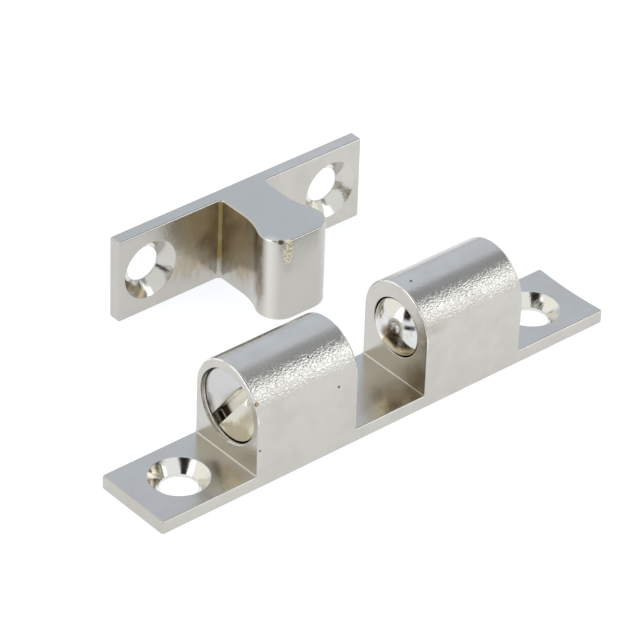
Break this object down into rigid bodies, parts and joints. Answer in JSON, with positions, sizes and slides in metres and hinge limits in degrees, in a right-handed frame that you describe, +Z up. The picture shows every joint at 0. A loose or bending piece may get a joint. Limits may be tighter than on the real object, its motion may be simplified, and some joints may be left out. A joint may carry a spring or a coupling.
{
  "type": "double ball catch",
  "caption": "Double ball catch for a cupboard door: a body with two sprung, adjustable balls that grip the tongue of a separate strike.",
  "frame": {"origin": "centre of the catch body's bottom face", "axes": "+X along the catch body, +Z up out of the plate through the barrels, +Y towards the strike, which stands beside the body"},
  "size_m": [0.06, 0.0331, 0.0128],
  "materials": {
    "body_nickel": "brass, satin nickel plated",
    "strike_nickel": "brass, satin nickel plated",
    "ball_steel": "polished hardened steel",
    "spring_steel": "drawn spring wire",
    "screw_nickel": "turned brass, nickel plated"
  },
  "bodies": {
    "catch": {"catch_body": "body_nickel", "strike": "strike_nickel"},
    "ball_left": {"ball_left": "ball_steel"},
    "ball_right": {"ball_right": "ball_steel"},
    "spring_left": {"spring_left": "spring_steel"},
    "spring_right": {"spring_right": "spring_steel"},
    "screw_left": {"screw_left": "screw_nickel"},
    "screw_right": {"screw_right": "screw_nickel"}
  },
  "joints": [
    {"name": "ball_left_press", "type": "slide", "parent": "catch", "child": "ball_left", "axis": [-1, 0, 0], "range_m": [0, 0.0015], "stiffness_N_per_m": 2000, "deforming": ["spring_left"]},
    {"name": "ball_right_press", "type": "slide", "parent": "catch", "child": "ball_right", "axis": [1, 0, 0], "range_m": [0, 0.0015], "stiffness_N_per_m": 2000, "deforming": ["spring_right"]},
    {"name": "screw_left_advance", "type": "slide", "parent": "catch", "child": "spring_left", "axis": [1, 0, 0], "range_m": [-0.00037, 0.00056], "deforming": ["spring_left"]},
    {"name": "screw_left_turn", "type": "hinge", "parent": "spring_left", "child": "screw_left", "pos_m": [-0.0174, 0, 0.00755], "axis": [1, 0, 0], "range_deg": [-180, 270]},
    {"name": "screw_right_advance", "type": "slide", "parent": "catch", "child": "spring_right", "axis": [-1, 0, 0], "range_m": [-0.00037, 0.00056], "deforming": ["spring_right"]},
    {"name": "screw_right_turn", "type": "hinge", "parent": "spring_right", "child": "screw_right", "pos_m": [0.0174, 0, 0.00755], "axis": [-1, 0, 0], "range_deg": [-180, 270]}
  ],
  "couplings": [
    {"joint": "screw_left_turn", "follows": "screw_left_advance", "rad_per_m": 8377.6},
    {"joint": "screw_right_turn", "follows": "screw_right_advance", "rad_per_m": 8377.6}
  ]
}
